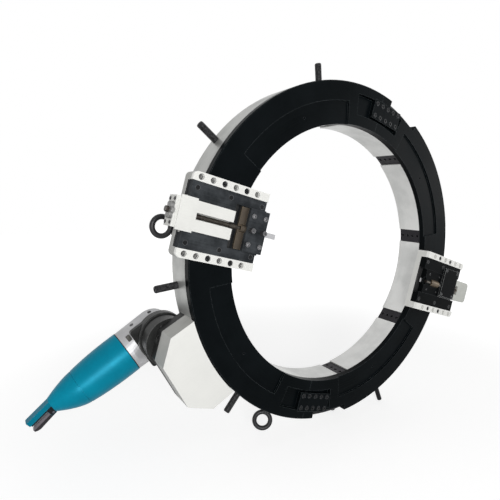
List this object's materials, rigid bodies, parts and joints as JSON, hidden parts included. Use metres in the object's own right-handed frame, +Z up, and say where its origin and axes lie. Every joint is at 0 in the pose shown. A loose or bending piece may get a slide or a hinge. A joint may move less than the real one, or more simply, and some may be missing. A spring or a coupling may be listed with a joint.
{
  "type": "orbital pipe cutting machine",
  "caption": "Split-frame pipe cutter: a clamp ring round a pipe carries a geared face ring with tool slides, turned by a motor on the rim.",
  "frame": {"origin": "on the pipe axis, half way along the stationary clamp frame", "axes": "+Y along the pipe to the machine's back, tools face -Y; +Z up; +X to the right seen from the tool side"},
  "size_m": [1.4552, 0.328, 1.1103],
  "materials": {
    "machined_aluminium": "machined, matt clear anodised",
    "white_plate": "bead blasted, clear anodised",
    "black_steel": "black oxide, oiled",
    "dark_steel": "turned, oiled",
    "bright_steel": "ground",
    "bronze": "machined bearing bronze",
    "cast_silver": "die cast, plain",
    "motor_shell": "moulded shell, semi-gloss",
    "lever_black": "moulded"
  },
  "bodies": {
    "frame": {"frame_left": "machined_aluminium", "frame_right": "machined_aluminium", "roller_axles": "dark_steel", "eyebolts": "dark_steel", "trip_pin": "black_steel", "frame_screws": "black_steel", "gearbox_housing": "white_plate", "gearbox_back_plate": "black_steel", "idler_axle": "bright_steel", "reducer_housing": "black_steel", "reducer_collar": "black_steel", "motor_gear_case": "cast_silver", "motor_housing": "motor_shell", "motor_handle": "motor_shell"},
    "rotor": {"face_ring_left": "black_steel", "face_ring_right": "black_steel", "ring_gear_left": "dark_steel", "ring_gear_right": "dark_steel", "joint_plates": "black_steel", "ring_screws": "black_steel", "slide_base_a": "white_plate", "slide_base_b": "white_plate", "gib_plates_a": "black_steel", "gib_plates_b": "black_steel", "screw_housing_a": "white_plate", "screw_housing_b": "white_plate", "cover_plate_b": "black_steel"},
    "tool_a": {"tool_block_a": "black_steel", "feed_nut_a": "bronze", "tool_bit_a": "bright_steel"},
    "feed_a": {"feed_screw_a": "dark_steel", "star_wheel_a": "bright_steel"},
    "tool_b": {"tool_block_b": "black_steel", "feed_nut_b": "bronze", "tool_bit_b": "bright_steel"},
    "feed_b": {"feed_screw_b": "dark_steel", "star_wheel_b": "bronze"},
    "foot_1": {"clamp_foot_1": "dark_steel"},
    "stud_1": {"jack_stud_1": "dark_steel"},
    "foot_2": {"clamp_foot_2": "dark_steel"},
    "stud_2": {"jack_stud_2": "dark_steel"},
    "foot_3": {"clamp_foot_3": "dark_steel"},
    "stud_3": {"jack_stud_3": "dark_steel"},
    "foot_4": {"clamp_foot_4": "dark_steel"},
    "stud_4": {"jack_stud_4": "dark_steel"},
    "foot_5": {"clamp_foot_5": "dark_steel"},
    "stud_5": {"jack_stud_5": "dark_steel"},
    "foot_6": {"clamp_foot_6": "dark_steel"},
    "stud_6": {"jack_stud_6": "dark_steel"},
    "foot_7": {"clamp_foot_7": "dark_steel"},
    "stud_7": {"jack_stud_7": "dark_steel"},
    "foot_8": {"clamp_foot_8": "dark_steel"},
    "stud_8": {"jack_stud_8": "dark_steel"},
    "roller_1": {"guide_roller_1": "bright_steel"},
    "roller_2": {"guide_roller_2": "bright_steel"},
    "roller_3": {"guide_roller_3": "bright_steel"},
    "roller_4": {"guide_roller_4": "bright_steel"},
    "idler": {"idler_gear": "bright_steel"},
    "pinion": {"drive_pinion": "bright_steel"},
    "lever": {"switch_lever": "lever_black"}
  },
  "joints": [
    {"name": "ring_spin", "type": "hinge", "parent": "frame", "child": "rotor", "pos_m": [0, 0, 0], "axis": [0, -1, 0], "continuous": true},
    {"name": "idler_spin", "type": "hinge", "parent": "frame", "child": "idler", "pos_m": [-0.45575, -0.028, -0.25554], "axis": [0, -1, 0], "continuous": true},
    {"name": "pinion_spin", "type": "hinge", "parent": "frame", "child": "pinion", "pos_m": [-0.5197, -0.028, -0.19956], "axis": [0, -1, 0], "continuous": true},
    {"name": "roller_1_spin", "type": "hinge", "parent": "frame", "child": "roller_1", "pos_m": [0.37787, -0.0275, 0.1967], "axis": [0, -1, 0], "continuous": true},
    {"name": "roller_2_spin", "type": "hinge", "parent": "frame", "child": "roller_2", "pos_m": [-0.1967, -0.0275, 0.37787], "axis": [0, -1, 0], "continuous": true},
    {"name": "roller_3_spin", "type": "hinge", "parent": "frame", "child": "roller_3", "pos_m": [-0.37787, -0.0275, -0.1967], "axis": [0, -1, 0], "continuous": true},
    {"name": "roller_4_spin", "type": "hinge", "parent": "frame", "child": "roller_4", "pos_m": [0.1967, -0.0275, -0.37787], "axis": [0, -1, 0], "continuous": true},
    {"name": "feed_a_turn", "type": "hinge", "parent": "rotor", "child": "feed_a", "pos_m": [-0.48181, -0.098, 0.13362], "axis": [0.9636, 0, -0.2672], "range_deg": [-3242, 3602]},
    {"name": "tool_a_slide", "type": "slide", "parent": "rotor", "child": "tool_a", "axis": [0.9636, 0, -0.2672], "range_m": [-0.018, 0.02]},
    {"name": "feed_b_turn", "type": "hinge", "parent": "rotor", "child": "feed_b", "pos_m": [0.47686, -0.098, -0.15035], "axis": [-0.9537, 0, 0.3007], "range_deg": [0, 6482]},
    {"name": "tool_b_slide", "type": "slide", "parent": "rotor", "child": "tool_b", "axis": [-0.9537, 0, 0.3007], "range_m": [0, 0.036]},
    {"name": "foot_1_slide", "type": "slide", "parent": "frame", "child": "foot_1", "axis": [-0.9962, 0, -0.0872], "range_m": [0, 0.025]},
    {"name": "stud_1_turn", "type": "hinge", "parent": "foot_1", "child": "stud_1", "pos_m": [0.4981, 0.014, 0.04358], "axis": [-0.9962, 0, -0.0872], "range_deg": [0, 3602]},
    {"name": "foot_2_slide", "type": "slide", "parent": "frame", "child": "foot_2", "axis": [-0.6428, 0, -0.766], "range_m": [0, 0.025]},
    {"name": "stud_2_turn", "type": "hinge", "parent": "foot_2", "child": "stud_2", "pos_m": [0.32139, 0.014, 0.38302], "axis": [-0.6428, 0, -0.766], "range_deg": [0, 3602]},
    {"name": "foot_3_slide", "type": "slide", "parent": "frame", "child": "foot_3", "axis": [0.0872, 0, -0.9962], "range_m": [0, 0.025]},
    {"name": "stud_3_turn", "type": "hinge", "parent": "foot_3", "child": "stud_3", "pos_m": [-0.04358, 0.014, 0.4981], "axis": [0.0872, 0, -0.9962], "range_deg": [0, 3602]},
    {"name": "foot_4_slide", "type": "slide", "parent": "frame", "child": "foot_4", "axis": [0.766, 0, -0.6428], "range_m": [0, 0.025]},
    {"name": "stud_4_turn", "type": "hinge", "parent": "foot_4", "child": "stud_4", "pos_m": [-0.38302, 0.014, 0.32139], "axis": [0.766, 0, -0.6428], "range_deg": [0, 3602]},
    {"name": "foot_5_slide", "type": "slide", "parent": "frame", "child": "foot_5", "axis": [0.9962, 0, 0.0872], "range_m": [0, 0.025]},
    {"name": "stud_5_turn", "type": "hinge", "parent": "foot_5", "child": "stud_5", "pos_m": [-0.4981, 0.014, -0.04358], "axis": [0.9962, 0, 0.0872], "range_deg": [0, 3602]},
    {"name": "foot_6_slide", "type": "slide", "parent": "frame", "child": "foot_6", "axis": [0.6428, 0, 0.766], "range_m": [0, 0.025]},
    {"name": "stud_6_turn", "type": "hinge", "parent": "foot_6", "child": "stud_6", "pos_m": [-0.32139, 0.014, -0.38302], "axis": [0.6428, 0, 0.766], "range_deg": [0, 3602]},
    {"name": "foot_7_slide", "type": "slide", "parent": "frame", "child": "foot_7", "axis": [-0.0872, 0, 0.9962], "range_m": [0, 0.025]},
    {"name": "stud_7_turn", "type": "hinge", "parent": "foot_7", "child": "stud_7", "pos_m": [0.04358, 0.014, -0.4981], "axis": [-0.0872, 0, 0.9962], "range_deg": [0, 3602]},
    {"name": "foot_8_slide", "type": "slide", "parent": "frame", "child": "foot_8", "axis": [-0.766, 0, 0.6428], "range_m": [0, 0.025]},
    {"name": "stud_8_turn", "type": "hinge", "parent": "foot_8", "child": "stud_8", "pos_m": [0.38302, 0.014, -0.32139], "axis": [-0.766, 0, 0.6428], "range_deg": [0, 3602]},
    {"name": "lever_press", "type": "hinge", "parent": "frame", "child": "lever", "pos_m": [-0.79774, 0.15, -0.36628], "axis": [0, 1, 0], "range_deg": [0, 4], "stiffness_Nm_per_rad": 3, "springref_deg": -14.32}
  ],
  "couplings": [
    {"joint": "idler_spin", "follows": "ring_spin", "ratio": -8.9524},
    {"joint": "pinion_spin", "follows": "ring_spin", "ratio": 14.462},
    {"joint": "roller_1_spin", "follows": "ring_spin", "ratio": 31.45},
    {"joint": "roller_2_spin", "follows": "ring_spin", "ratio": 31.45},
    {"joint": "roller_3_spin", "follows": "ring_spin", "ratio": 31.45},
    {"joint": "roller_4_spin", "follows": "ring_spin", "ratio": 31.45},
    {"joint": "feed_a_turn", "follows": "tool_a_slide", "rad_per_m": 3141.6},
    {"joint": "feed_b_turn", "follows": "tool_b_slide", "rad_per_m": 3141.6},
    {"joint": "stud_1_turn", "follows": "foot_1_slide", "rad_per_m": 2513.3},
    {"joint": "stud_2_turn", "follows": "foot_2_slide", "rad_per_m": 2513.3},
    {"joint": "stud_3_turn", "follows": "foot_3_slide", "rad_per_m": 2513.3},
    {"joint": "stud_4_turn", "follows": "foot_4_slide", "rad_per_m": 2513.3},
    {"joint": "stud_5_turn", "follows": "foot_5_slide", "rad_per_m": 2513.3},
    {"joint": "stud_6_turn", "follows": "foot_6_slide", "rad_per_m": 2513.3},
    {"joint": "stud_7_turn", "follows": "foot_7_slide", "rad_per_m": 2513.3},
    {"joint": "stud_8_turn", "follows": "foot_8_slide", "rad_per_m": 2513.3}
  ]
}
